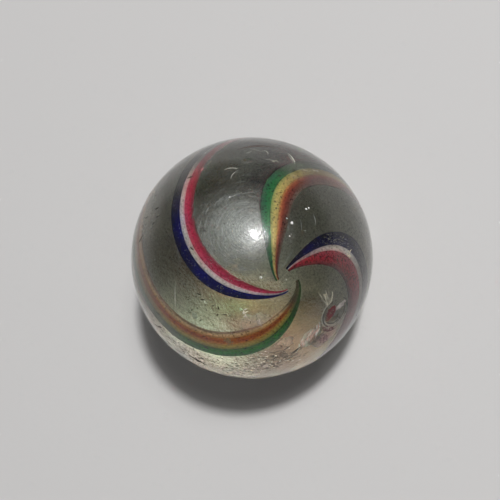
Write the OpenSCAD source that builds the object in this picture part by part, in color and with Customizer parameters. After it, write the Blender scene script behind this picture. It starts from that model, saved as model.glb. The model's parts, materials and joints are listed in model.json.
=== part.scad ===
// Handmade swirl marble: a ball of clear glass with four ribbons of coloured glass just under its
// surface. Each ribbon is three or four strands side by side, and winds from pole to pole.
// Origin: the ball's centre. +Z: up, as the marble lies. The swirl's axis leans from +Z towards +X.
// Angles and longitudes are counted about the swirl's axis, from its upper pole.

/* [Ball] */
// Diameter of the marble
ball_d = 25; // [14:0.5:50]
// Thickness of the clear glass over the ribbons
cover = 0.25; // [0.15:0.05:0.5]
// Diameter of the clear spot that the ribbons end around at each pole
pole_spot_d = 1.9; // [1.5:0.1:4]

/* [Strands of ribbons 1 and 3] */
// Width of each green strand
green_w = [1.1, 1.1]; // [0.4:0.05:1.4]
// Width of each yellow strand
yellow_w = [0.7, 0.85]; // [0.4:0.05:1.2]
// Width of each orange strand
orange_w = [0.75, 0.55]; // [0.4:0.05:1.4]
// Width of the amber or maroon strand along each orange one
lining_w = [0.7, 0.75]; // [0.2:0.05:1]

/* [Strands of ribbons 2 and 4] */
// Width of each blue strand
blue_w = [1.55, 1.05]; // [0.4:0.05:2]
// Width of each white strand
white_w = [0.65, 0.55]; // [0.3:0.05:1]
// Width of each red strand
red_w = [1.95, 0.95]; // [0.4:0.05:2.6]

/* [Ribbons] */
// Depth of a ribbon where its strands meet
ribbon_t = 0.9; // [0.4:0.05:1.2]
// Depth of a ribbon at its two edges
edge_t = 0.25; // [0.1:0.05:0.4]
// Angle from a pole at which each ribbon reaches its full width
full_width_at = [40, 40, 42, 40]; // [30:1:60]

/* [Swirl] */
// Lean of the swirl's axis from upright
swirl_lean = 35; // [0:1:90]
// Longitude at which each ribbon crosses the swirl's equator
crossing = [201.5, 343, 41.5, 139]; // [0:0.5:360]
// Turn of each ribbon from the equator to a pole
turn = [79, 80, 80, 71]; // [60:1:90]
// Strength of each ribbon's hook around the poles
hook = [8.5, 5, 7, 7.5]; // [4:0.5:9]
// Sideways wander of each ribbon on the upper half
wander = [0, -35, 13, 0]; // [-40:1:20]
// Angle from the upper pole at which each ribbon wanders most
wander_at = [45, 60, 45, 45]; // [40:1:65]
// Longitude that each ribbon gains back on its way to the lower pole
low_gain = [0, 0, 30, 0]; // [-40:1:40]

/* [Chips] */
// Width of each chip in the surface
chip_w = [2.4, 2, 1.3, 0.9]; // [0.5:0.1:3]
// Dip of each chip below its own rim
chip_dip = [0.12, 0.06, 0.08, 0.06]; // [0.02:0.01:0.2]
// Angle of each chip from the upper pole
chip_at = [34, 32, 51, 61]; // [10:1:90]
// Longitude of each chip
chip_longitude = [332, 358, 114, 138]; // [0:1:360]

/* [Hidden] */
$fn = 96;

ball_r = ball_d / 2;
ribbon_r = ball_r - cover;
wander_spread = 21;
taper_power = 1.25;
rings = 44;
tangent_step = 0.01;

// A ribbon's end is as far from the pole as the clear spot's edge.
end_angle = asin(pole_spot_d / ball_d);

// Edges of the strands across a ribbon, from its inner edge, counted from the edge that the
// swirl's law follows. The strands from low to high longitude lie between neighbouring edges.
function warm_edges(i) = [-orange_w[i] - lining_w[i], -orange_w[i], 0, yellow_w[i], yellow_w[i] + green_w[i]];
function cool_edges(i) = [-red_w[i], 0, white_w[i], white_w[i] + blue_w[i]];
ribbon_edges = [warm_edges(0), cool_edges(0), warm_edges(1), cool_edges(1)];

// The swirl's law: longitude of ribbon r at an angle from the upper pole.
function wandered(r, angle) = wander[r] * exp(-pow((angle - wander_at[r]) / wander_spread, 2));
function gained(r, angle) = low_gain[r] * pow(min(0, cos(angle)), 2);
function stray(r, angle) = wandered(r, angle) + gained(r, angle);
function longitude(r, angle) = crossing[r] + turn[r] * cos(angle) + hook[r] / tan(angle) + stray(r, angle);

// A point of the unit ball, and the two directions that a ribbon's section is drawn with.
function on_ball(angle, lon) = [sin(angle) * cos(lon), sin(angle) * sin(lon), cos(angle)];
function track(r, angle) = on_ball(angle, longitude(r, angle));
function unit(v) = v / norm(v);
function sideways(r, angle) = unit(cross(track(r, angle), track(r, angle + tangent_step) - track(r, angle)));

// Ribbons narrow and thin towards both poles.
function rise(r, angle) = min(1, min(angle, 180 - angle) / full_width_at[r]);
function taper(r, angle) = pow(sin(90 * rise(r, angle)), taper_power);
function ring_angle(i) = end_angle + (180 - 2 * end_angle) * i / rings;

// The point at a distance across ribbon r and a depth below its outer face.
function section_point(r, angle, across, depth) =
    let (swing = across * taper(r, angle) * 180 / (PI * ribbon_r))
    (ribbon_r - depth * taper(r, angle)) * (cos(swing) * track(r, angle) + sin(swing) * sideways(r, angle));

// A ribbon's depth at edge k: thin at its first and last edge, and full between strands.
function edge_depth(r, k) = k == 0 || k == len(ribbon_edges[r]) - 1 ? edge_t : ribbon_t;

// One ring of points from edge first to edge last: the outer face, then the inner face.
function ring_points(r, angle, first, last) = [
    for (k = [first:last]) section_point(r, angle, ribbon_edges[r][k], 0),
    for (k = [first:last]) section_point(r, angle, ribbon_edges[r][k], edge_depth(r, k))
];

// Triangles between lines a and b of neighbouring rings of count points, split the same way
// whichever side they are seen from, so that touching solids share them exactly.
function strip(a, b, count, flip) = [
    for (i = [0:rings - 1])
        let (p = i * count + a, q = i * count + b)
        for (t = [[p, q, q + count], [p, q + count, p + count]])
            flip ? [t[2], t[1], t[0]] : t
];

// The solid between edges first and last of ribbon r, swept from pole to pole.
module swept(r, first, last) {
    across = last - first + 1;
    count = 2 * across;
    points = [for (i = [0:rings]) each ring_points(r, ring_angle(i), first, last)];
    start_cap = [for (k = [0:across - 1]) across + k, for (k = [across - 1:-1:0]) k];
    end_cap = [for (k = [count - 1:-1:0]) rings * count + start_cap[k]];
    faces = [
        for (k = [0:across - 2]) each strip(k, k + 1, count, false),
        for (k = [0:across - 2]) each strip(across + k, across + k + 1, count, true),
        each strip(0, across, count, true),
        each strip(across - 1, count - 1, count, false),
        start_cap,
        end_cap
    ];
    polyhedron(points, faces, convexity = 10);
}

// A shallow round scoop out of the surface: width across its rim, and dip below the rim's plane.
module scoop(angle, lon, width, dip) {
    rim_height = sqrt(ball_r * ball_r - width * width / 4);
    scoop_r = (width * width / 4 + dip * dip) / (2 * dip);
    rotate([0, angle, lon])
        translate([0, 0, rim_height - dip + scoop_r])
            sphere(r = scoop_r);
}

module chips() {
    for (i = [0:len(chip_w) - 1])
        scoop(chip_at[i], chip_longitude[i], chip_w[i], chip_dip[i]);
}

module leaning() {
    rotate([0, swirl_lean, 0])
        children();
}

module clear_glass() {
    color([0.62, 0.68, 0.62, 0.4])
        leaning()
            difference() {
                sphere(r = ball_r);
                for (r = [0:len(ribbon_edges) - 1])
                    swept(r, 0, len(ribbon_edges[r]) - 1);
                chips();
            }
}

// Strand k of ribbon r, counted from the ribbon's low-longitude edge.
module strand(r, k, tint) {
    color(tint)
        leaning()
            difference() {
                swept(r, k, k + 1);
                chips();
            }
}

module green_strand(r) strand(r, 3, [0.05, 0.32, 0.14]);
module yellow_strand(r) strand(r, 2, [0.78, 0.62, 0.22]);
module orange_strand(r) strand(r, 1, [0.68, 0.28, 0.10]);
module amber_strand(r) strand(r, 0, [0.72, 0.50, 0.25]);
module maroon_strand(r) strand(r, 0, [0.30, 0.07, 0.06]);
module blue_strand(r) strand(r, 2, [0.03, 0.04, 0.28]);
module white_strand(r) strand(r, 1, [0.82, 0.80, 0.76]);
module red_strand(r) strand(r, 0, [0.66, 0.10, 0.20]);

clear_glass();
green_strand(0);  // ribbon_1_green
yellow_strand(0);  // ribbon_1_yellow
orange_strand(0);  // ribbon_1_orange
amber_strand(0);  // ribbon_1_amber
blue_strand(1);  // ribbon_2_blue
white_strand(1);  // ribbon_2_white
red_strand(1);  // ribbon_2_red
green_strand(2);  // ribbon_3_green
yellow_strand(2);  // ribbon_3_yellow
orange_strand(2);  // ribbon_3_orange
maroon_strand(2);  // ribbon_3_maroon
blue_strand(3);  // ribbon_4_blue
white_strand(3);  // ribbon_4_white
red_strand(3);  // ribbon_4_red
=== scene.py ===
"""Handmade swirl marble: worn clear glass over ribbons of coloured glass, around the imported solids."""
import json
import math

import bpy
import numpy as np
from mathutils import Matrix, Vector


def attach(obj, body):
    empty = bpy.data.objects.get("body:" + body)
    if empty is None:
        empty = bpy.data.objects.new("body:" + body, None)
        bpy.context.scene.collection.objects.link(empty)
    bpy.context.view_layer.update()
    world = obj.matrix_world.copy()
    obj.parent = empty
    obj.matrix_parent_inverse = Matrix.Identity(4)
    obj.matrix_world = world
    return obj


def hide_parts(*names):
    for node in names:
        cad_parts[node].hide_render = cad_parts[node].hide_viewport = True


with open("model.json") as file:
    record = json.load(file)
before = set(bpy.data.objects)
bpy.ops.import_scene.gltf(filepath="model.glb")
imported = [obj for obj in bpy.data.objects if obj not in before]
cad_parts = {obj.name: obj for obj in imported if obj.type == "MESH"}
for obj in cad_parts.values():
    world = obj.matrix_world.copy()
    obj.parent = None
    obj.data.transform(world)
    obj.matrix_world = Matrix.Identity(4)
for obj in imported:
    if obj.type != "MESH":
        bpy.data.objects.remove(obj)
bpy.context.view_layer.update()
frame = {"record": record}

# ---------------------------------------------------------------- sizes, in metres
MM = 0.001
BALL_R = -frame["record"]["mounts"][0]["pos_m"][2]
COVER = 0.25 * MM
RIBBON_R = BALL_R - COVER
POLE_SPOT_D = 1.9 * MM
RIBBON_T = 0.9 * MM
EDGE_T = 0.25 * MM
TAPER_POWER = 1.25
SWIRL_LEAN = math.radians(35)
WANDER_SPREAD = math.radians(21)

# A small angle for measuring slopes of the swirl's law.
SMALL_STEP = 1e-4

# Each ribbon's numbers for the swirl's law and its taper are in degrees, as the solids have them. Its
# STRANDS run from the low to the high longitude side, with widths in mm, and ZERO of them lie below the
# edge that the law gives. The fades are painted haze and shade: between two angles from the swirl's
# pole, the named strands turn by a share to the dim, veiled grey of the glass around them, not a colour
# of their own. Those that begin before CLEAR_FROM mostly turn back beyond it, past the side seen at a
# slant.
RIBBONS = [
    dict(crossing=201.5, turn=79, hook=8.5, wander=0, wander_at=45, low_gain=0,
         clear_from=96, full_at=40, zero=2,
         strands=[("amber", 0.7), ("orange", 0.75), ("yellow", 0.7), ("green", 1.1)],
         painted_haze=[("amber orange yellow", 18, 9, 0.92, (0.150, 0.140, 0.090)),
                ("green", 28, 9, 0.90, (0.070, 0.120, 0.045)),
                ("amber", 68, 80, 0.70, (0.44, 0.31, 0.21)),
                ("orange", 60, 74, 0.75, (0.36, 0.22, 0.14)),
                ("yellow", 58, 72, 0.85, (0.36, 0.29, 0.19)),
                ("green", 50, 64, 0.85, (0.22, 0.23, 0.16))]),
    dict(crossing=343, turn=80, hook=5.0, wander=-35, wander_at=60, low_gain=0,
         clear_from=60, full_at=40, zero=1,
         strands=[("red", 1.95), ("white", 0.65), ("blue", 1.55)],
         painted_haze=[("red", 38, 54, 0.75, (0.20, 0.07, 0.07)),
                ("white", 32, 46, 0.70, (0.24, 0.20, 0.19)),
                ("blue", 30, 42, 0.80, (0.075, 0.075, 0.072))]),
    dict(crossing=41.5, turn=80, hook=7.0, wander=13, wander_at=45, low_gain=30,
         clear_from=66, full_at=42, zero=2,
         strands=[("maroon", 0.75), ("orange", 0.55), ("yellow", 0.85), ("green", 1.1)],
         painted_haze=[("maroon orange", 42, 56, 0.80, (0.20, 0.11, 0.09)),
                ("yellow", 40, 58, 0.80, (0.23, 0.16, 0.09)),
                ("green", 41, 52, 0.92, (0.12, 0.12, 0.10)),
                ("maroon orange yellow green", 115, 138, 0.85, (0.26, 0.17, 0.13))]),
    dict(crossing=139, turn=71, hook=7.5, wander=0, wander_at=45, low_gain=0,
         clear_from=94, full_at=40, zero=1,
         strands=[("red", 0.95), ("white", 0.55), ("blue", 1.05)],
         painted_haze=[("red", 64, 82, 0.75, (0.30, 0.16, 0.15)),
                ("white", 68, 82, 0.80, (0.24, 0.20, 0.19)),
                ("blue", 55, 70, 0.92, (0.12, 0.12, 0.11))]),
]
# How much of the painted haze stays past the side seen at a slant, and over how many degrees the rest
# goes.
PAINTED_HAZE_KEPT = 0.2
CLEAR_OVER = 26

# Round chips in the surface, as the solids have them: place in degrees, width and dip in mm.
CHIPS = [
    dict(angle=34, longitude=332, width=2.4, dip=0.12),
    dict(angle=32, longitude=358, width=2.0, dip=0.06),
    dict(angle=51, longitude=114, width=1.3, dip=0.08),
    dict(angle=61, longitude=138, width=0.9, dip=0.06),
]

SWIRL_X = np.array([math.cos(SWIRL_LEAN), 0, -math.sin(SWIRL_LEAN)])
SWIRL_Y = np.array([0.0, 1.0, 0.0])
SWIRL_Z = np.array([math.sin(SWIRL_LEAN), 0, math.cos(SWIRL_LEAN)])


# ---------------------------------------------------------------- small helpers
def new_object(name, verts, faces, smooth=True):
    mesh = bpy.data.meshes.new(name)
    mesh.from_pydata(np.asarray(verts).tolist(), [], [tuple(f) for f in faces])
    mesh.update()
    if smooth:
        mesh.polygons.foreach_set("use_smooth", [True] * len(mesh.polygons))
    obj = bpy.data.objects.new(name, mesh)
    bpy.context.scene.collection.objects.link(obj)
    return obj


def unit(v):
    return v / np.linalg.norm(v, axis=-1, keepdims=True)


def smooth_step(value, start, end):
    """0 at start, 1 at end, and a smooth rise between them."""
    rise = np.clip((value - start) / (end - start), 0, 1)
    return rise * rise * (3 - 2 * rise)


def paint(obj, colours, fourth=1.0):
    """A colour and a fourth number for each vertex, which the material reads."""
    layer = obj.data.attributes.new("paint", "FLOAT_COLOR", "POINT")
    values = np.c_[colours, np.broadcast_to(fourth, len(colours))]
    layer.data.foreach_set("color", values.astype(np.float32).ravel())


# ---------------------------------------------------------------- places on the ball
def on_ball(angle, longitude):
    """Points of the unit ball at angles from the swirl's upper pole and longitudes about its axis."""
    return (np.multiply.outer(np.sin(angle) * np.cos(longitude), SWIRL_X)
            + np.multiply.outer(np.sin(angle) * np.sin(longitude), SWIRL_Y)
            + np.multiply.outer(np.cos(angle), SWIRL_Z))


def place(angle, longitude):
    """A place in degrees: the directions outward, east to higher longitude, and south from the pole."""
    a, b = math.radians(angle), math.radians(longitude)
    out, south = on_ball(a, b), on_ball(a + math.pi / 2, b)
    return out, np.cross(out, south), south


def spread_flat(points, angle, longitude):
    """The ball laid flat around a place: mm east and mm south of it, true to length from the middle."""
    out, east, south = place(angle, longitude)
    away = np.arccos(np.clip(points @ out, -1, 1))
    scale = away / np.maximum(np.sin(away), 1e-6) * BALL_R / MM
    return points @ east * scale, points @ south * scale


def beside(angle, longitude, x, y):
    """Unit vectors x mm east and y mm south of a place."""
    out, east, south = place(angle, longitude)
    x, y = np.asarray(x) * MM / BALL_R, np.asarray(y) * MM / BALL_R
    away = np.maximum(np.hypot(x, y), 1e-9)
    side = (np.multiply.outer(x / away, east) + np.multiply.outer(y / away, south))
    return np.cos(away)[..., None] * out + np.sin(away)[..., None] * side


def near(points, angle, longitude, length, width=None, turn=0):
    """1 at a place, falling off smoothly over a length and width in mm; turn is from east to south."""
    x, y = spread_flat(points, angle, longitude)
    t = math.radians(turn)
    along, across = x * math.cos(t) + y * math.sin(t), y * math.cos(t) - x * math.sin(t)
    return np.exp(-(along / length) ** 2 - (across / (width or length)) ** 2)


# ---------------------------------------------------------------- camera, light and floor
def build_camera():
    """A steep view, a little rolled, with the marble just off the middle."""
    distance = 9.385 * BALL_R
    azimuth, elevation = math.radians(-4.05), math.radians(73.53)
    back = Vector((math.cos(elevation) * math.cos(azimuth), math.cos(elevation) * math.sin(azimuth),
                   math.sin(elevation)))
    rolled_up = Vector((-0.587, 0.809, 0))
    right = rolled_up.cross(back).normalized()
    up = back.cross(right).normalized()
    aim = (up * 0.0070859 - right * 0.0017715) * distance
    camera = bpy.data.cameras.new("camera")
    camera.sensor_width = 36
    camera.lens = 81.288
    camera.clip_start = 0.01
    obj = bpy.data.objects.new("camera", camera)
    bpy.context.scene.collection.objects.link(obj)
    position = back * distance
    look = (position - aim).normalized()
    side = up.cross(look).normalized()
    top = look.cross(side)
    matrix = obj.matrix_world.copy()
    for row in range(3):
        matrix[row][0], matrix[row][1], matrix[row][2] = side[row], top[row], look[row]
        matrix[row][3] = position[row]
    obj.matrix_world = matrix
    bpy.context.scene.camera = obj


LAMP_DISTANCE = 0.6
# Round lamps: direction from the ball, apparent width in degrees, and share of the floor's light.
LAMPS = {
    "key": ((0.094, 0.297, 0.950), 5, 0.64),
    "soft": ((0.098, 0.315, 0.944), 15, 0.23),
}
WORLD_SHARE = 0.13


def build_light():
    """Two round lamps high up and an even pale world, which together light the floor at its colour."""
    for name, (direction, width, share) in LAMPS.items():
        direction = Vector(direction).normalized()
        lamp = bpy.data.lights.new(name, "AREA")
        lamp.shape = "DISK"
        lamp.size = 2 * LAMP_DISTANCE * math.tan(math.radians(width) / 2)
        lamp.energy = math.pi ** 2 * LAMP_DISTANCE ** 2 * share / direction.z
        obj = bpy.data.objects.new(name, lamp)
        bpy.context.scene.collection.objects.link(obj)
        obj.location = direction * LAMP_DISTANCE
        obj.rotation_euler = direction.to_track_quat("Z", "Y").to_euler()
    world = bpy.data.worlds.new("world")
    world.use_nodes = True
    world.node_tree.nodes["Background"].inputs["Color"].default_value = (1, 1, 1, 1)
    world.node_tree.nodes["Background"].inputs["Strength"].default_value = WORLD_SHARE
    bpy.context.scene.world = world


def build_floor():
    half = 0.6
    floor = new_object("floor", [(-half, -half, -BALL_R), (half, -half, -BALL_R), (half, half, -BALL_R),
                                 (-half, half, -BALL_R)], [(0, 1, 2, 3)], smooth=False)
    material = bpy.data.materials.new("floor")
    material.use_nodes = True
    shader = material.node_tree.nodes["Principled BSDF"]
    shader.inputs["Base Color"].default_value = (0.60, 0.59, 0.585, 1)
    shader.inputs["Roughness"].default_value = 0.9
    shader.inputs["Specular IOR Level"].default_value = 0.2
    floor.data.materials.append(material)


# ---------------------------------------------------------------- the swirl
def swirl_longitude(ribbon, angle):
    """The swirl's law: a ribbon's longitude at angles from the upper pole."""
    past = (angle - math.radians(ribbon["wander_at"])) / WANDER_SPREAD
    stray = ribbon["wander"] * np.exp(-past ** 2)
    stray = stray + ribbon["low_gain"] * np.minimum(0, np.cos(angle)) ** 2
    return np.radians(ribbon["crossing"] + ribbon["turn"] * np.cos(angle)
                      + ribbon["hook"] / np.tan(angle) + stray)


def taper(ribbon, angle):
    """The share of its full width and depth that a ribbon has at angles from the upper pole."""
    rise = np.minimum(1, np.minimum(angle, math.pi - angle) / math.radians(ribbon["full_at"]))
    return np.sin(math.pi / 2 * rise) ** TAPER_POWER


RINGS = 220
ACROSS = 6
# How steeply a ribbon deepens from its two edges; 4 would be an even arch.
ARCH = 4.5


def strand_mesh(name, ribbon, first):
    """One strand as a closed tube: an outer face that follows the ball, and a rounded inner face."""
    strands = ribbon["strands"]
    widths = [w * MM for _, w in strands]
    low_edge = sum(widths[:first]) - sum(widths[:ribbon["zero"]])
    total_low = -sum(widths[:ribbon["zero"]])
    total_high = total_low + sum(widths)
    end = math.asin(POLE_SPOT_D / (2 * BALL_R))
    angle = np.linspace(end, math.pi - end, RINGS + 1)
    track = on_ball(angle, swirl_longitude(ribbon, angle))
    ahead = on_ball(angle + SMALL_STEP, swirl_longitude(ribbon, angle + SMALL_STEP))
    side = unit(np.cross(track, ahead - track))
    narrow = taper(ribbon, angle)
    ring, coords = [], []
    for face in (0, 1):
        for k in range(ACROSS + 1):
            share = k / ACROSS
            across = low_edge + widths[first] * share
            over = (across - total_low) / (total_high - total_low)
            depth = EDGE_T + (RIBBON_T - EDGE_T) * np.clip(ARCH * over * (1 - over), 0, 1)
            swing = across * narrow / RIBBON_R
            radius = RIBBON_R - face * depth * narrow
            point = np.cos(swing)[:, None] * track + np.sin(swing)[:, None] * side
            ring.append(point * radius[:, None])
            coords.append(share)
    loop = list(range(ACROSS + 1)) + list(range(2 * ACROSS + 1, ACROSS, -1))
    count = len(loop)
    verts = np.stack([ring[i] for i in loop], axis=1).reshape(-1, 3)
    faces = []
    for i in range(RINGS):
        for k in range(count):
            a, b = i * count + k, i * count + (k + 1) % count
            faces.append((a, a + count, b + count, b))
    faces.append(tuple(range(count)))
    faces.append(tuple(RINGS * count + k for k in reversed(range(count))))
    obj = new_object(name, verts, faces)
    mesh = obj.data
    along = np.repeat(np.cumsum(np.r_[0, np.linalg.norm(np.diff(track, axis=0), axis=1)]), count)
    aside = np.tile([coords[i] for i in loop], RINGS + 1)
    uv = mesh.uv_layers.new(name="strand")
    index = np.empty(len(mesh.loops), int)
    mesh.loops.foreach_get("vertex_index", index)
    uv.data.foreach_set("uv", np.stack([along[index], aside[index]], 1).ravel())
    mesh.validate()
    colour, share = painted_haze_along(ribbon, strands[first][0], np.degrees(angle))
    paint(obj, np.repeat(colour, count, axis=0), np.repeat(share, count))
    return obj


def painted_haze_along(ribbon, strand, angle):
    """The painted haze and shade of a strand: its colour and share at angles in degrees from the swirl's
    pole.
    """
    colour, share = np.zeros((len(angle), 3)), np.zeros(len(angle))
    clear_from = ribbon["clear_from"]
    back = 1 - (1 - PAINTED_HAZE_KEPT) * smooth_step(angle, clear_from, clear_from + CLEAR_OVER)
    for names, start, end, most, faded in ribbon["painted_haze"]:
        if strand in names.split():
            rise = smooth_step(angle, start, end)
            colour[rise > 0] = faded
            share = np.maximum(share, most * rise * (back if start < clear_from else 1))
    return colour, share


# ---------------------------------------------------------------- materials
def shader_of(material):
    material.use_nodes = True
    return material.node_tree, material.node_tree.nodes["Principled BSDF"]


# Scales of noise, in waves to a metre.
SPECK_WAVES = 5200
PATCH_WAVES = 900
GRAIN_WAVES = 5000
SATIN_WAVES = 700
SCUFF_WAVES = 3200
FLAKE_WAVES = 9000
# The width of a speck's edge in the noise that draws it.
SPECK_EDGE = 0.06
# Where a strand's three colours lie across it.
COLOUR_STOPS = (0.08, 0.5, 0.92)

# Colours of each strand from its low to its high longitude side, the colour of its specks, and the
# level of noise above which they show.
STRAND_LOOKS = {
    "green_1": ([(0.070, 0.240, 0.035), (0.014, 0.310, 0.025), (0.050, 0.240, 0.060)],
                (0.010, 0.060, 0.020), 0.58),
    "yellow_1": ([(0.62, 0.36, 0.07), (0.58, 0.46, 0.11), (0.34, 0.36, 0.08)],
                 (0.24, 0.15, 0.04), 0.60),
    "orange_1": ([(0.66, 0.24, 0.060), (0.44, 0.10, 0.024), (0.60, 0.25, 0.045)],
                 (0.22, 0.03, 0.01), 0.59),
    "amber_1": ([(0.50, 0.34, 0.26), (0.98, 0.76, 0.43), (0.70, 0.38, 0.14)],
                (0.40, 0.24, 0.12), 0.58),
    "red_2": ([(0.15, 0.040, 0.040), (0.34, 0.018, 0.035), (0.42, 0.055, 0.080)],
              (0.07, 0.012, 0.014), 0.53),
    "white_2": ([(0.60, 0.46, 0.46), (0.62, 0.61, 0.58), (0.46, 0.46, 0.48)],
                (0.36, 0.34, 0.33), 0.56),
    "blue_2": ([(0.004, 0.006, 0.075), (0.001, 0.001, 0.060), (0.003, 0.004, 0.050)],
               (0.15, 0.16, 0.30), 0.62),
    "green_3": ([(0.045, 0.250, 0.085), (0.022, 0.215, 0.075), (0.090, 0.220, 0.130)],
                (0.006, 0.030, 0.014), 0.57),
    "yellow_3": ([(0.80, 0.62, 0.24), (0.96, 0.80, 0.33), (0.66, 0.64, 0.24)],
                 (0.24, 0.16, 0.06), 0.60),
    "orange_3": ([(0.34, 0.060, 0.040), (0.56, 0.130, 0.060), (0.80, 0.430, 0.150)],
                 (0.18, 0.03, 0.02), 0.60),
    "maroon_3": ([(0.26, 0.220, 0.180), (0.180, 0.065, 0.055), (0.260, 0.055, 0.040)],
                 (0.05, 0.01, 0.01), 0.58),
    "red_4": ([(0.40, 0.050, 0.080), (0.72, 0.040, 0.120), (0.80, 0.130, 0.220)],
              (0.50, 0.02, 0.06), 0.58),
    "white_4": ([(0.90, 0.68, 0.70), (0.95, 0.93, 0.88), (0.74, 0.74, 0.76)],
                (0.60, 0.56, 0.52), 0.58),
    "blue_4": ([(0.001, 0.002, 0.140), (0.001, 0.001, 0.120), (0.003, 0.004, 0.085)],
               (0.18, 0.20, 0.45), 0.64),
}


def strand_material(look):
    """Opaque glass: colour across the strand, drawn-out streaks along it, fine specks and painted haze.
    """
    material = bpy.data.materials.new(look)
    tree, shader = shader_of(material)
    nodes, links = tree.nodes, tree.links
    across, speck_colour, speck_level = STRAND_LOOKS[look]
    uv = nodes.new("ShaderNodeUVMap")
    uv.uv_map = "strand"
    split = nodes.new("ShaderNodeSeparateXYZ")
    links.new(uv.outputs["UV"], split.inputs["Vector"])
    stretch = nodes.new("ShaderNodeMapping")
    stretch.inputs["Scale"].default_value = (5, 2.2, 1)
    links.new(uv.outputs["UV"], stretch.inputs["Vector"])
    streaks = nodes.new("ShaderNodeTexNoise")
    streaks.inputs["Scale"].default_value = 3
    streaks.inputs["Detail"].default_value = 5
    links.new(stretch.outputs["Vector"], streaks.inputs["Vector"])
    shift = calculate(tree, "MULTIPLY_ADD", streaks.outputs["Fac"], 0.5, -0.25)
    ramp = nodes.new("ShaderNodeValToRGB")
    ramp.color_ramp.elements.new(0.5)
    for element, position, colour in zip(ramp.color_ramp.elements, COLOUR_STOPS, across):
        element.position = position
        element.color = (*colour, 1)
    links.new(calculate(tree, "ADD", split.outputs["Y"], shift), ramp.inputs["Fac"])
    specks = nodes.new("ShaderNodeMapRange")
    specks.inputs["From Min"].default_value = speck_level
    specks.inputs["From Max"].default_value = speck_level + SPECK_EDGE
    links.new(noise(tree, SPECK_WAVES), specks.inputs["Value"])
    mix = nodes.new("ShaderNodeMix")
    mix.data_type = "RGBA"
    links.new(specks.outputs["Result"], mix.inputs["Factor"])
    links.new(ramp.outputs["Color"], mix.inputs["A"])
    mix.inputs["B"].default_value = (*speck_colour, 1)
    # The painted haze and shade that paint() gave the strand.
    fade = painted(tree)
    faded = nodes.new("ShaderNodeMix")
    faded.data_type = "RGBA"
    links.new(fade.outputs["Alpha"], faded.inputs["Factor"])
    links.new(mix.outputs["Result"], faded.inputs["A"])
    links.new(fade.outputs["Color"], faded.inputs["B"])
    links.new(faded.outputs["Result"], shader.inputs["Base Color"])
    shader.inputs["Roughness"].default_value = 0.35
    shader.inputs["Specular IOR Level"].default_value = 0.0
    return material


def painted(tree):
    """The colour and fourth number that paint() gave each vertex."""
    node = tree.nodes.new("ShaderNodeVertexColor")
    node.layer_name = "paint"
    return node


def calculate(tree, operation, a, b=0.0, c=0.0):
    node = tree.nodes.new("ShaderNodeMath")
    node.operation = operation
    for socket, value in zip(node.inputs, (a, b, c)):
        if hasattr(value, "links"):
            tree.links.new(value, socket)
        else:
            socket.default_value = value
    return node.outputs[0]


def noise(tree, waves, detail=3):
    """Noise in the ball's own coordinates."""
    coords = tree.nodes.new("ShaderNodeTexCoord")
    node = tree.nodes.new("ShaderNodeTexNoise")
    node.inputs["Scale"].default_value = waves
    node.inputs["Detail"].default_value = detail
    tree.links.new(coords.outputs["Object"], node.inputs["Vector"])
    return node.outputs["Fac"]


def scaled(tree, colour, factor):
    """A colour times a number."""
    node = tree.nodes.new("ShaderNodeVectorMath")
    node.operation = "SCALE"
    tree.links.new(colour, node.inputs[0])
    tree.links.new(factor, node.inputs["Scale"])
    return node.outputs[0]


# How much rougher the glass gets with frost.
HAZE = 0.9
SCUFF_DEPTH = 0.04 * MM


def glass_material():
    """Clear glass, frosted and tinted where worn and where light is painted in, with fine scuffs all
    over.
    """
    material = bpy.data.materials.new("clear_glass")
    tree, shader = shader_of(material)
    links = tree.links
    patchy = calculate(tree, "MULTIPLY_ADD", noise(tree, PATCH_WAVES), 0.8, 0.6)
    wear_and_painted_light = painted(tree)
    frost = calculate(tree, "MULTIPLY", wear_and_painted_light.outputs["Alpha"], patchy)
    links.new(calculate(tree, "SUBTRACT", 1.0, frost), shader.inputs["Transmission Weight"])
    grain = calculate(tree, "MULTIPLY_ADD", noise(tree, GRAIN_WAVES), 2.4, -0.25)
    links.new(scaled(tree, wear_and_painted_light.outputs["Color"], grain), shader.inputs["Base Color"])
    rough = calculate(tree, "MULTIPLY_ADD", noise(tree, SATIN_WAVES), 0.16, 0.12)
    links.new(calculate(tree, "MULTIPLY_ADD", frost, HAZE, rough), shader.inputs["Roughness"])
    bump = tree.nodes.new("ShaderNodeBump")
    bump.inputs["Strength"].default_value = 0.5
    bump.inputs["Distance"].default_value = SCUFF_DEPTH
    links.new(noise(tree, SCUFF_WAVES, 4), bump.inputs["Height"])
    links.new(bump.outputs["Normal"], shader.inputs["Normal"])
    links.new(bump.outputs["Normal"], shader.inputs["Coat Normal"])
    shader.inputs["IOR"].default_value = 1.5
    shader.inputs["Coat Weight"].default_value = 0.4
    shader.inputs["Coat Roughness"].default_value = 0.10
    volume = tree.nodes.new("ShaderNodeVolumeAbsorption")
    volume.inputs["Color"].default_value = (0.62, 0.66, 0.58, 1)
    volume.inputs["Density"].default_value = 45
    links.new(volume.outputs["Volume"], tree.nodes["Material Output"].inputs["Volume"])
    return material


def flake_material(name, roughness):
    """Dirt and splintered glass: each flake has its own colour, made uneven by noise."""
    material = bpy.data.materials.new(name)
    tree, shader = shader_of(material)
    mottle = calculate(tree, "MULTIPLY_ADD", noise(tree, FLAKE_WAVES, 2), 0.9, 0.55)
    colour = scaled(tree, painted(tree).outputs["Color"], mottle)
    tree.links.new(colour, shader.inputs["Base Color"])
    shader.inputs["Roughness"].default_value = roughness
    shader.inputs["Specular IOR Level"].default_value = 0.3
    return material


# ---------------------------------------------------------------- the ball
CUBE_STEPS = 127


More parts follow.
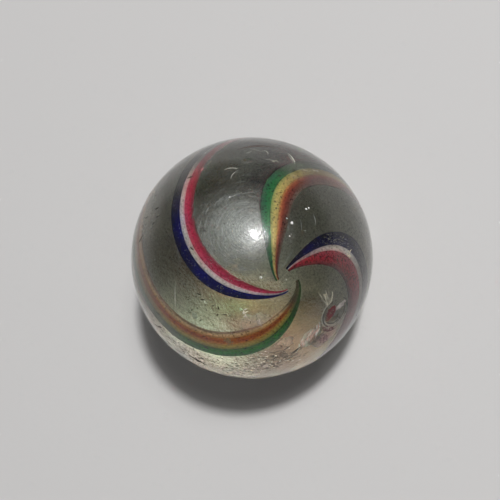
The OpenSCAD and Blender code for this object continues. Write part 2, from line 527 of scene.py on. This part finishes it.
def ball_points():
    """A cube of square patches blown up to the unit ball: evenly spaced points and four-sided faces."""
    steps = np.tan(np.linspace(-math.pi / 4, math.pi / 4, CUBE_STEPS + 1))
    u, v = np.meshgrid(steps, steps, indexing="ij")
    one = np.ones_like(u)
    sides = [(one, u, v), (-one, v, u), (v, one, u), (u, -one, v), (u, v, one), (v, u, -one)]
    points = unit(np.concatenate([np.stack(s, -1).reshape(-1, 3) for s in sides]))
    n = CUBE_STEPS + 1
    i, j = np.meshgrid(np.arange(CUBE_STEPS), np.arange(CUBE_STEPS), indexing="ij")
    a = (i * n + j).ravel()
    quad = np.stack([a, a + n, a + n + 1, a + 1], 1)
    quads = np.concatenate([quad + s * n * n for s in range(6)])
    keys = np.round(points * 1e6).astype(int)
    _, first, back = np.unique(keys, axis=0, return_index=True, return_inverse=True)
    return points[first], back.ravel()[quads]


def scoop_depth(points, chip):
    """How far a round chip's floor lies under the ball's surface, in metres."""
    half, dip = chip["width"] * MM / 2, chip["dip"] * MM
    scoop_r = (half ** 2 + dip ** 2) / (2 * dip)
    centre = math.sqrt(BALL_R ** 2 - half ** 2) - dip + scoop_r
    out, _, _ = place(chip["angle"], chip["longitude"])
    t = points @ out
    inside = (t > math.cos(half / BALL_R * 1.01))
    reach = t * centre - np.sqrt(np.maximum((t * centre) ** 2 - centre ** 2 + scoop_r ** 2, 0))
    return np.where(inside, np.maximum(BALL_R - reach, 0), 0)


# The larger worn marks: places in degrees, and lengths in mm. MOON has rings and STRIATED has ridges.
MOON = dict(angle=32, longitude=0.5, radius=1.65, depth=0.016, gap=0.5)
STRIATED = dict(angle=33, longitude=331.5, length=1.15, width=0.75, depth=0.035, gap=0.42)
FEATHER = dict(angle=23, longitude=8.5)
SKIN_DEPTH = 0.014 * MM
WAVE_DEPTH = 0.004 * MM
# Small dents all over: direction, width and depth in mm.
DENT_COUNT = 90
rng = np.random.default_rng(7)
DENTS = [(unit(rng.normal(size=3)), rng.uniform(0.15, 0.45), rng.uniform(0.006, 0.02))
         for _ in range(DENT_COUNT)]


def worn_depth(points):
    """How far the worn surface lies under the true ball, in metres."""
    depth = np.full(len(points), SKIN_DEPTH)
    for chip in CHIPS:
        depth = np.maximum(depth, scoop_depth(points, chip))
    x, y = spread_flat(points, MOON["angle"], MOON["longitude"])
    r = np.hypot(x, y)
    ring = 0.5 + 0.5 * np.cos(2 * math.pi * r / MOON["gap"])
    depth += MOON["depth"] * MM * ring * np.exp(-(r / MOON["radius"]) ** 6)
    x, y = spread_flat(points, STRIATED["angle"], STRIATED["longitude"])
    phase = 2 * math.pi * (x * 0.9 - y * 0.45) / STRIATED["gap"] + 1.3 * np.sin(y * 2.1)
    ridge = 0.5 + 0.5 * np.sin(phase)
    depth += STRIATED["depth"] * MM * ridge * np.exp(-(x / STRIATED["length"]) ** 4
                                                     - (y / STRIATED["width"]) ** 4)
    for out, width, dip in DENTS:
        away = np.linalg.norm(points - out, axis=1) * BALL_R / MM
        depth += dip * MM * np.exp(-(away / width) ** 2)
    waves = (np.sin(points @ (31, 12, 7)) * np.sin(points @ (-9, 27, 15))
             + np.sin(points @ (14, -19, 25)))
    depth += WAVE_DEPTH * (waves + 2)
    return depth


# Worn zones, some with painted light: angle and longitude in degrees, length and width in mm, turn, and
# the frost and tint of the glass there.
GLASS_TINT = (0.90, 0.90, 0.82)
WEAR_AND_PAINTED_LIGHT_ZONES = [
    # This zone round the glint: worn glass, with a pale greenish tint that is a painted haze of
    # highlight.
    dict(at=(32, 169), size=(3.3, 3.8), turn=104, frost=0.22, tint=(0.86, 0.94, 0.87)),
    dict(at=(40, 242), size=(3.8, 3.0), turn=80, frost=0.07, tint=(0.29, 0.33, 0.25)),
    dict(at=(62, 140), size=(4.6, 3.4), turn=20, frost=0.055, tint=(0.84, 0.88, 0.76)),
    dict(at=(33, 90), size=(3.2, 2.8), turn=0, frost=0.006, tint=(0.80, 0.80, 0.70)),
    dict(at=(62.5, 265), size=(3.0, 1.7), turn=168, frost=0.06, tint=(0.34, 0.25, 0.21)),
    # These six on the low side: worn frost, tinted pale pink, cream and green as painted light gathered
    # through the ribbons and the ball.
    dict(at=(66, 281), size=(2.2, 1.2), turn=168, frost=0.07, tint=(1.0, 0.72, 0.62)),
    dict(at=(60, 290), size=(2.6, 1.7), turn=165, frost=0.12, tint=(1.0, 0.86, 0.76)),
    dict(at=(48, 305), size=(2.8, 1.7), turn=160, frost=0.10, tint=(0.96, 0.74, 0.70)),
    dict(at=(32, 305), size=(3.0, 1.4), turn=159, frost=0.08, tint=(0.88, 0.64, 0.60)),
    dict(at=(22, 272), size=(2.5, 1.2), turn=126, frost=0.12, tint=(1.0, 0.58, 0.54)),
    dict(at=(24, 246), size=(1.9, 1.1), turn=123, frost=0.05, tint=(0.50, 0.92, 0.52)),
    dict(at=(40, 343), size=(1.6, 1.0), turn=170, frost=0.22, tint=(0.55, 0.22, 0.28)),
    dict(at=(20, 347), size=(4.2, 3.2), turn=90, frost=0.03, tint=(0.50, 0.40, 0.28)),
    dict(at=(16, 268), size=(2.4, 1.6), turn=90, frost=0.04, tint=(0.60, 0.62, 0.50)),
    dict(at=(32, 0.5), size=(1.7, 1.5), turn=0, frost=0.02, tint=(0.40, 0.40, 0.32)),
    dict(at=(76, 160), size=(3.0, 2.2), turn=150, frost=0.12, tint=(0.80, 0.80, 0.72)),
    dict(at=(88, 190), size=(5.0, 2.2), turn=120, frost=0.12, tint=(0.84, 0.80, 0.66)),
    dict(at=(68, 75), size=(2.6, 3.2), turn=0, frost=0.08, tint=(0.70, 0.66, 0.60)),
    dict(at=(50, 44), size=(2.2, 2.6), turn=0, frost=0.05, tint=(0.64, 0.58, 0.54)),
]
CLEAN_FROST = 0.014
UNDER_FROST = 0.76
# Ribbons cover most of the frost and tint of the glass over them, up to a soft edge of this width in mm.
COVERED_SHARE = 0.92
COVER_EDGE = 0.25


def ribbon_cover(points):
    """1 over the ribbons and 0 beside them, with a soft edge."""
    angle = np.arccos(np.clip(points @ SWIRL_Z, -0.9999, 0.9999))
    longitude = np.arctan2(points @ SWIRL_Y, points @ SWIRL_X)
    cover = np.zeros(len(points))
    for ribbon in RIBBONS:
        law = swirl_longitude(ribbon, angle)
        slope = (swirl_longitude(ribbon, angle + SMALL_STEP) - law) / SMALL_STEP * np.sin(angle)
        aside = (longitude - law + math.pi) % (2 * math.pi) - math.pi
        across = aside * np.sin(angle) / np.sqrt(1 + slope ** 2) * RIBBON_R / MM
        widths = [w for _, w in ribbon["strands"]]
        low = -sum(widths[:ribbon["zero"]])
        narrow = taper(ribbon, angle)
        outside = np.maximum(low * narrow - across, across - (low + sum(widths)) * narrow)
        cover = np.maximum(cover, np.clip(0.5 - outside / COVER_EDGE, 0, 1))
    return cover


def build_ball():
    """The worn glass ball, frosted most underneath, where it rests, with painted light in some zones."""
    points, quads = ball_points()
    radius = BALL_R - worn_depth(points)
    ball = new_object("glass_ball", points * radius[:, None], quads)
    frost = CLEAN_FROST + (UNDER_FROST - CLEAN_FROST) * np.clip(-1.6 * points[:, 2] - 0.2, 0, 1)
    tint = np.tile(GLASS_TINT, (len(points), 1))
    beside_ribbons = 1 - COVERED_SHARE * ribbon_cover(points)
    frost *= beside_ribbons
    for zone in WEAR_AND_PAINTED_LIGHT_ZONES:
        share = near(points, *zone["at"], *zone["size"], zone["turn"]) * beside_ribbons
        frost = np.maximum(frost, zone["frost"] * share)
        tint += (np.array(zone["tint"]) - tint) * share[:, None]
    paint(ball, tint, frost)
    ball.data.materials.append(glass_material())
    return ball


# ---------------------------------------------------------------- flakes, pits, scratches and painted glints
class Flakes:
    """Tiny closed flakes that lie in the worn surface and become one piece.

    Each has its rim and its floor below the surface, and its top above it."""

    RIM, FLOOR = -0.002 * MM, -0.03 * MM

    def __init__(self, top=0.008):
        self.top = top * MM
        self.points, self.lifts, self.faces, self.colours = [], [], [], []
        self.count = 0

    def add(self, points, lifts, faces, colour):
        """One flake of unit vectors, each with its lift over the surface in metres."""
        self.points.append(points)
        self.lifts.append(lifts)
        self.faces += [tuple(i + self.count for i in face) for face in faces]
        self.colours.append(np.tile(colour, (len(points), 1)))
        self.count += len(points)

    def blob(self, out, length, width, turn, colour, corners=7):
        """A flat crumb with an uneven outline; length and width are its half sizes in mm."""
        east = unit(np.cross(SWIRL_Z, out))
        south = np.cross(east, out)
        t = np.linspace(0, 2 * math.pi, corners, endpoint=False) + rng.uniform(0, 1)
        grow = rng.uniform(0.65, 1.15, corners)
        a, b = np.cos(t) * length * grow, np.sin(t) * width * grow
        x = a * math.cos(turn) - b * math.sin(turn)
        y = a * math.sin(turn) + b * math.cos(turn)
        rim = unit(out + (np.outer(x, east) + np.outer(y, south)) * MM / BALL_R)
        points = np.vstack([rim, out, out])
        lifts = np.r_[np.full(corners, self.RIM), self.top, self.FLOOR]
        ring = [(i, (i + 1) % corners) for i in range(corners)]
        faces = [(j, i, corners) for i, j in ring] + [(i, j, corners + 1) for i, j in ring]
        self.add(points, lifts, faces, colour)

    def cluster(self, at, x, y, length, width, turn, count, size, colour):
        """Many crumbs of half size in mm, strewn over an oval x mm east and y mm south of a place."""
        t = math.radians(turn)
        for _ in range(count):
            r, s = math.sqrt(rng.uniform()), rng.uniform(0, 2 * math.pi)
            a, b = length * r * math.cos(s), width * r * math.sin(s)
            east = x + a * math.cos(t) - b * math.sin(t)
            south = y + a * math.sin(t) + b * math.cos(t)
            out = beside(*at, east, south)
            shade = rng.uniform(0.7, 1.3)
            self.blob(out, size * rng.uniform(0.8, 1.8), size * rng.uniform(0.6, 1.2), rng.uniform(0, 3),
                      np.array(colour) * shade)

    def stroke(self, path, width, colour):
        """A thin closed sliver along a path, pointed at its ends; width is its half width in mm."""
        n = len(path)
        ahead = np.gradient(path, axis=0)
        side = unit(np.cross(path, ahead))
        thick = np.sin(math.pi * (np.arange(n) + 0.35) / (n - 0.3)) * width * rng.uniform(0.75, 1.25, n)
        half = side * (thick * MM / BALL_R)[:, None]
        points = np.stack([unit(path - half), path, unit(path + half), path], 1).reshape(-1, 3)
        lifts = np.tile([self.RIM, self.top, self.RIM, self.FLOOR], n)
        faces = [(0, 1, 2, 3), (4 * n - 1, 4 * n - 2, 4 * n - 3, 4 * n - 4)]
        for i in range(n - 1):
            for k in range(4):
                a, b = 4 * i + k, 4 * i + (k + 1) % 4
                faces.append((a, a + 4, b + 4, b))
        self.add(points, lifts, faces, colour)

    def build(self, name, material):
        points = np.vstack(self.points)
        radius = BALL_R - worn_depth(points) + np.concatenate(self.lifts)
        obj = new_object(name, points * radius[:, None], self.faces)
        paint(obj, np.clip(np.vstack(self.colours), 0, 1))
        obj.data.materials.append(material)
        return obj


def line(angle, longitude, *offsets):
    """A path of unit vectors through places given in mm east and south of one place."""
    offsets = np.array(offsets, float)
    return beside(angle, longitude, offsets[:, 0], offsets[:, 1])


def through(*places):
    """A smooth path of unit vectors through three places in degrees."""
    first, middle, last = (place(*p)[0] for p in places)
    t = np.linspace(0, 1, 9)[:, None]
    return unit(first * (1 - t) * (1 - 2 * t) + middle * 4 * t * (1 - t) + last * t * (2 * t - 1))


def arc(angle, longitude, radius, start, end, stretch=(1, 1), steps=14):
    """A path round a place, from one turn to another in degrees."""
    t = np.radians(np.linspace(start, end, steps))
    return beside(angle, longitude, radius * stretch[0] * np.cos(t), radius * stretch[1] * np.sin(t))


def dash(angle, longitude, length, turn, bend=0.15):
    """A short, slightly bent path centred on a place."""
    t = math.radians(turn)
    s = np.linspace(-0.5, 0.5, 5)
    off = bend * length * (0.25 - s ** 2) * rng.choice([-1, 1])
    x = s * length * math.cos(t) - off * math.sin(t)
    y = s * length * math.sin(t) + off * math.cos(t)
    return beside(angle, longitude, x, y)


def scattered(count, density):
    """Unit vectors all over the ball, thinned out by a density function from 0 to 1."""
    kept = np.zeros((0, 3))
    while len(kept) < count:
        tries = unit(rng.normal(size=(4000, 3)))
        kept = np.vstack([kept, tries[rng.uniform(size=len(tries)) < density(tries)]])
    return kept[:count]


def low_zone(points):
    """1 along the pitted band under ribbon 1."""
    band = [near(points, 68, 265, 2.2, 1.3, 168), near(points, 59, 284, 2.6, 1.4, 168),
            near(points, 46, 304, 2.4, 1.5, 160), 0.5 * near(points, 73, 248, 2.2, 0.9, 150)]
    return np.clip(np.sum(band, axis=0), 0, 1)


def on_blue_4(points):
    """1 along the middle of ribbon 4's blue strand."""
    return np.maximum(near(points, 34, 203, 1.0, 0.5, 60), near(points, 27, 217, 1.4, 0.4, 50))


def off_focus(points):
    """0 at the place underneath that the ball magnifies, where a speck would look like a large spot."""
    return 1 - near(points, 149, 329, 4.5)


# Dark marks: angle and longitude of the middle, length in mm, turn and half width in mm.
DARK_MARKS = [
    (68, 270, 2.2, 166, 0.15), (67.5, 270, 1.0, 160, 0.26), (38, 320, 1.6, 141, 0.12),
    (76, 187, 0.7, 55, 0.07), (72, 190, 0.7, 52, 0.07), (73, 194, 0.4, 30, 0.08),
    (85, 182, 0.7, 60, 0.05), (101, 183, 1.0, 60, 0.10), (82, 193, 0.5, 50, 0.05),
    (60, 148, 1.2, 16, 0.05), (70, 166, 0.7, 39, 0.09), (45, 198, 0.5, 112, 0.08),
    (81, 203, 1.1, 34, 0.09), (69, 238, 1.0, 114, 0.05), (78, 245, 1.2, 113, 0.06),
    (74, 246, 0.8, 100, 0.10), (54, 27, 0.6, 90, 0.04), (70, 254, 0.6, 150, 0.07),
    (78, 256, 0.9, 150, 0.09), (48, 256, 0.4, 120, 0.05), (25, 267, 0.35, 60, 0.05),
    (22, 270, 0.4, 70, 0.04), (21, 267, 0.3, 60, 0.03), (40, 227, 0.5, 120, 0.07),
    (39, 231, 0.5, 100, 0.06), (33, 240, 0.35, 20, 0.09), (32, 247, 0.6, 110, 0.05),
    (39, 239, 0.3, 20, 0.05), (44, 245, 0.3, 80, 0.06), (56, 294, 0.4, 170, 0.09),
    (34, 277, 0.3, 120, 0.07), (46, 237, 0.25, 60, 0.05), (46, 230, 0.25, 80, 0.05),
    (35, 245, 0.3, 50, 0.06), (35, 237, 0.3, 100, 0.06), (45, 310, 1.2, 150, 0.05),
    (35, 311, 0.9, 140, 0.06), (42, 316, 1.5, 155, 0.06), (44, 327, 1.0, 150, 0.05),
    (48, 297, 0.6, 165, 0.07), (51, 303, 0.8, 150, 0.06), (41, 305, 0.7, 130, 0.06),
    (38, 299, 0.5, 120, 0.05),
]
OLD_DIRT = (0.040, 0.033, 0.024)
DIRT = (0.060, 0.045, 0.032)


def build_pits():
    """Dirt in the pits: specks all over, close together in the worn band, and the larger dark marks."""
    flakes = Flakes(top=0.012)
    for out in scattered(1500, lambda p: off_focus(p) * np.maximum(0.06, 0.35 * near(p, 38, 238, 3.5))):
        size = rng.uniform(0.02, 0.05)
        shade = rng.uniform(0.03, 0.10)
        colour = shade * np.array([1.1, 1, 0.8])
        flakes.blob(out, size * rng.uniform(1, 2.6), size, rng.uniform(0, 3), colour)
    for out in scattered(560, low_zone):
        size = rng.uniform(0.03, 0.075)
        shade = rng.uniform(0.02, 0.07)
        turn = math.radians(165) + rng.normal() * 0.45
        colour = shade * np.array([1.1, 0.9, 0.7])
        flakes.blob(out, size * rng.uniform(1.2, 4.5), size, turn, colour)
    for angle, longitude, length, turn, width in DARK_MARKS:
        flakes.stroke(dash(angle, longitude, length, turn), width, OLD_DIRT)
    for _ in range(34):
        start = rng.uniform(0, 360)
        path = arc(41 + 4.5 * rng.normal(), 309 + 5 * rng.normal(), rng.uniform(0.15, 0.45), start,
                   start + rng.uniform(90, 220), (1, rng.uniform(0.4, 1)))
        flakes.stroke(path, rng.uniform(0.03, 0.06), DIRT)
    flakes.cluster((40, 317), 0, 0, 0.8, 0.2, 150, 16, 0.06, DIRT)
    flakes.cluster((61, 146), 0, 0, 0.6, 0.2, 10, 20, 0.06, (0.070, 0.055, 0.040))
    flakes.stroke(through((71.5, 139.5), (72.5, 130), (70, 117.5)), 0.11, (0.090, 0.055, 0.045))
    flakes.stroke(through((73, 136), (73.5, 129), (72, 121)), 0.06, (0.080, 0.055, 0.045))
    return flakes.build("pit_dirt", flake_material("pit_dirt", 0.9))


# Spots with many fine bruises: angle, longitude, spread in mm and number.
BRUISED = [(25, 76, 0.5, 10), (29, 69, 0.6, 15), (33, 64, 0.7, 18), (57, 105, 0.7, 10)]
# White specks painted as glints: angle, longitude and half size in mm.
PAINTED_GLINTS = [(34, 104, 0.12), (33, 106, 0.15), (25, 119, 0.20), (27, 124, 0.10),
           (19, 122, 0.10), (20, 120, 0.06), (45.3, 158.3, 0.11), (12, 209, 0.17),
           (1, 200, 0.10), (23, 103, 0.05), (65, 210, 0.07), (82, 152, 0.09)]


def build_bruises():
    """Tiny pale bruises all over, the knocked edge of ribbon 2, painted glints and painted light in the
    pits.
    """
    flakes = Flakes()
    for out in scattered(3600, off_focus):
        size = rng.uniform(0.015, 0.030)
        flakes.blob(out, size, size, 0, rng.uniform(0.10, 0.30) * np.array([1, 1, 0.95]), corners=5)
    # Pale cream crumbs in the pitted band: frosted pits, their brightness and cream colour painted light
    # gathered through the ball.
    for out in scattered(120, lambda p: low_zone(p) * (1 - ribbon_cover(p))):
        size = rng.uniform(0.05, 0.10)
        colour = rng.uniform(0.8, 1.0) * np.array([1, 0.90, 0.79])
        flakes.blob(out, size * rng.uniform(1, 3), size, math.radians(165), colour)
    for angle, longitude, reach, count in BRUISED:
        for x, y in rng.normal(size=(count, 2)) * reach * 0.6:
            size = rng.uniform(0.02, 0.055)
            colour = rng.uniform(0.10, 0.34) * np.array([1, 0.97, 0.85])
            flakes.blob(beside(angle, longitude, x, y), size * 1.6, size, rng.uniform(0, 3), colour)
    for out in scattered(70, on_blue_4):
        size = rng.uniform(0.018, 0.032)
        flakes.blob(out, size, size, 0, rng.uniform(0.30, 0.60) * np.array([0.95, 0.97, 1]), corners=5)
    flakes.cluster((35, 51.5), 0, 0, 0.5, 0.3, 60, 18, 0.07, (0.80, 0.74, 0.56))
    flakes.cluster((38, 233), 0, 0, 0.18, 0.15, 0, 6, 0.07, (0.75, 0.78, 0.70))
    flakes.cluster((40, 268), 0, 0, 0.50, 0.42, 0, 60, 0.07, (0.25, 0.165, 0.06))
    # White specks painted as glints.
    for angle, longitude, size in PAINTED_GLINTS:
        out, _, _ = place(angle, longitude)
        flakes.blob(out, size, size, 0, (1, 1, 0.97))
    return flakes.build("bruises_and_painted_light", flake_material("bruises_and_painted_light", 0.4))


# Splinters in the moon-like chip: mm east and south, half length and half width of the oval that they
# are strewn over, its turn, their number and half size, and their colour.
MOON_CLUSTERS = [
    (-0.22, -0.48, 0.84, 0.54, -14, 210, 0.09, (0.115, 0.011, 0.015)),
    # The next two make the moon's bright crescent: pale splinters, the second a painted highlight on
    # them.
    (1.02, 0.14, 0.80, 0.30, 27, 90, 0.08, (0.34, 0.30, 0.28)),
    (0.78, -0.02, 0.46, 0.16, 27, 26, 0.07, (0.56, 0.51, 0.46)),
    (-1.60, 0.80, 0.95, 0.30, 72, 60, 0.09, (0.110, 0.020, 0.032)),
    (-2.70, 1.50, 0.85, 0.50, 100, 55, 0.08, (0.150, 0.065, 0.080)),
    (0.1, 1.35, 1.2, 0.40, 20, 34, 0.08, (0.070, 0.060, 0.050)),
]
# Its rings: radius in mm, first and last turn in degrees, half width in mm and colour.
MOON_RINGS = [
    (1.65, 130, 320, 0.08, (0.34, 0.33, 0.27)), (1.78, -10, 60, 0.10, (0.06, 0.06, 0.05)),
    (1.48, 160, 320, 0.08, (0.05, 0.05, 0.04)), (1.35, 100, 230, 0.07, (0.36, 0.33, 0.28)),
    (1.18, 90, 200, 0.07, (0.07, 0.06, 0.05)), (1.02, 80, 180, 0.06, (0.30, 0.28, 0.23)),
    (1.00, 200, 290, 0.05, (0.07, 0.06, 0.05)), (1.92, 60, 130, 0.08, (0.32, 0.29, 0.25)),
    (1.60, 60, 150, 0.07, (0.34, 0.31, 0.26)), (1.74, 80, 140, 0.07, (0.07, 0.06, 0.05)),
    (1.38, 20, 110, 0.09, (0.06, 0.055, 0.045)), (2.10, 100, 160, 0.06, (0.08, 0.07, 0.06)),
]
STRIATED_COLOURS = [
    (0.80, 0.78, 0.70), (0.66, 0.32, 0.24), (0.28, 0.42, 0.26), (0.92, 0.91, 0.84), (0.60, 0.46, 0.40),
    (0.10, 0.08, 0.07), (0.40, 0.38, 0.32),
]
STRIATED_COUNT = 76
PINK_CURLS_AT = (23, 269)


def build_chip_flakes():
    """Splintered glass, the moon's crescent with a painted highlight, the striated and feathered chips,
    pink curls.
    """
    flakes = Flakes()
    at = (MOON["angle"], MOON["longitude"])
    for cluster in MOON_CLUSTERS:
        flakes.cluster(at, *cluster)
    for radius, start, end, width, colour in MOON_RINGS:
        flakes.stroke(arc(*at, radius, start, end), width, colour)
    at = (STRIATED["angle"], STRIATED["longitude"])
    for i in range(STRIATED_COUNT):
        x = -1.35 + 2.5 * i / (STRIATED_COUNT - 1) + rng.uniform(-0.1, 0.1)
        y = -0.45 * x + rng.uniform(-0.45, 0.65)
        long, lean = rng.uniform(0.2, 0.65), rng.normal() * 0.25
        path = line(*at, (x + (0.45 + lean) * long, y - long), (x + 0.12 * long, y),
                    (x - (0.5 - lean) * long, y + long * 0.9))
        width, colour = rng.uniform(0.02, 0.055), STRIATED_COLOURS[rng.integers(len(STRIATED_COLOURS))]
        flakes.stroke(path, width, colour)
    at = (FEATHER["angle"], FEATHER["longitude"])
    for _ in range(44):
        turn = math.radians(rng.uniform(-64, 2))
        start = rng.uniform(0.1, 1.1)
        end = start + rng.uniform(0.4, 0.9)
        shade = rng.choice([0.05, 0.18, 0.30, 0.48, 0.70])
        path = line(*at, *[(-0.75 + r * math.cos(turn), 0.55 + r * math.sin(turn) - 0.12 * r * r)
                           for r in (start, (start + end) / 2, end)])
        flakes.stroke(path, rng.uniform(0.018, 0.045), shade * np.array([1, 0.94, 0.72]))
    at = PINK_CURLS_AT
    for _ in range(16):
        x, y = rng.normal(size=2) * (0.75, 0.3)
        t = rng.uniform(0, math.pi)
        path = line(*at, (x - 0.2 * math.cos(t), y - 0.2 * math.sin(t)), (x, y + 0.05),
                    (x + 0.2 * math.cos(t), y + 0.2 * math.sin(t)))
        flakes.stroke(path, rng.uniform(0.04, 0.08), rng.uniform(0.4, 0.85) * np.array([1, 0.92, 0.88]))
    return flakes.build("chip_flakes", flake_material("chip_flakes", 0.35))


# Pale scratches: angle and longitude of the middle, length in mm and turn.
PALE_DASHES = [(59, 147, 1.1, 29), (63, 115, 1.0, 83), (61, 114, 1.0, 82), (55, 110, 0.7, 5),
               (59, 101, 0.6, 23), (59, 126, 1.6, 22), (69, 131, 1.8, 44)]
# Curved nicks: three places that each goes through, its half width in mm and its shade.
PALE_NICKS = [
    (((66.5, 115), (62, 113.2), (58, 113)), 0.08, 0.62),
    (((68.5, 128.5), (66, 126), (63.5, 126.5)), 0.05, 0.40),
    (((67.5, 137.5), (67.2, 135), (68.5, 133)), 0.05, 0.34),
    (((60.5, 151.5), (60.0, 148), (57.5, 145)), 0.07, 0.42),
    (((53, 151.5), (55.5, 149), (56.5, 145)), 0.05, 0.36),
]


def build_scratches():
    """Hair scratches curved round the glint, pale there as a painted highlight, and a few curved nicks.
    """
    flakes = Flakes()
    # The glint's place. The hair scratches strewn round it are real wear, and their paleness there is a
    # painted highlight.
    middle, _, _ = place(28, 162)
    for out in scattered(420, lambda p: near(p, 31, 172, 3.4, 3.6, 104) * (1 - ribbon_cover(p))):
        away = unit(out - middle * (out @ middle) + 1e-6)
        ahead = np.cross(out, away)
        length = rng.uniform(0.4, 1.6)
        s = np.linspace(-0.5, 0.5, 6)[:, None] * length * MM / BALL_R
        path = unit(out + ahead * s - away * s ** 2 * 3)
        width = rng.uniform(0.010, 0.022)
        flakes.stroke(path, width, rng.uniform(0.16, 0.40) * np.array([0.95, 1, 0.96]))
    for angle, longitude, length, turn in PALE_DASHES:
        flakes.stroke(dash(angle, longitude, length, turn), 0.035, (0.34, 0.33, 0.28))
    for places, width, shade in PALE_NICKS:
        flakes.stroke(through(*places), width, shade * np.array([1, 0.98, 0.84]))
    flakes.cluster((58.5, 124), 0, 0, 0.45, 0.14, 0, 16, 0.06, (0.40, 0.38, 0.30))
    flakes.cluster((55.8, 107), 0, 0, 0.50, 0.13, 170, 14, 0.06, (0.58, 0.54, 0.36))
    flakes.cluster((58.5, 101), 0, 0, 0.40, 0.13, 160, 10, 0.06, (0.58, 0.52, 0.36))
    flakes.stroke(through((51, 218), (53, 228), (55, 238)), 0.06, (0.44, 0.44, 0.38))
    flakes.stroke(through((43, 246), (40, 252), (36, 258)), 0.05, (0.34, 0.35, 0.27))
    return flakes.build("scratches_and_painted_highlight", flake_material("scratches_and_painted_highlight", 0.5))


# ---------------------------------------------------------------- assembly
build_camera()
build_light()
build_floor()

ball = build_ball()
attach(ball, "root")
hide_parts("clear_glass")

for number, ribbon in enumerate(RIBBONS, 1):
    for first, (colour, _) in enumerate(ribbon["strands"]):
        strand = strand_mesh(f"strand_{number}_{colour}", ribbon, first)
        strand.data.materials.append(strand_material(f"{colour}_{number}"))
        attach(strand, "root")
        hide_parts(f"ribbon_{number}_{colour}")

for wear_and_painted_light in (build_pits(), build_bruises(), build_chip_flakes(), build_scratches()):
    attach(wear_and_painted_light, "root")

bpy.context.scene.view_settings.view_transform = "Standard"
# The ball gathers the lamps' light inside itself: this light is kept sharp and at its full strength.
bpy.context.scene.cycles.blur_glossy = 0.15
bpy.context.scene.cycles.sample_clamp_indirect = 0
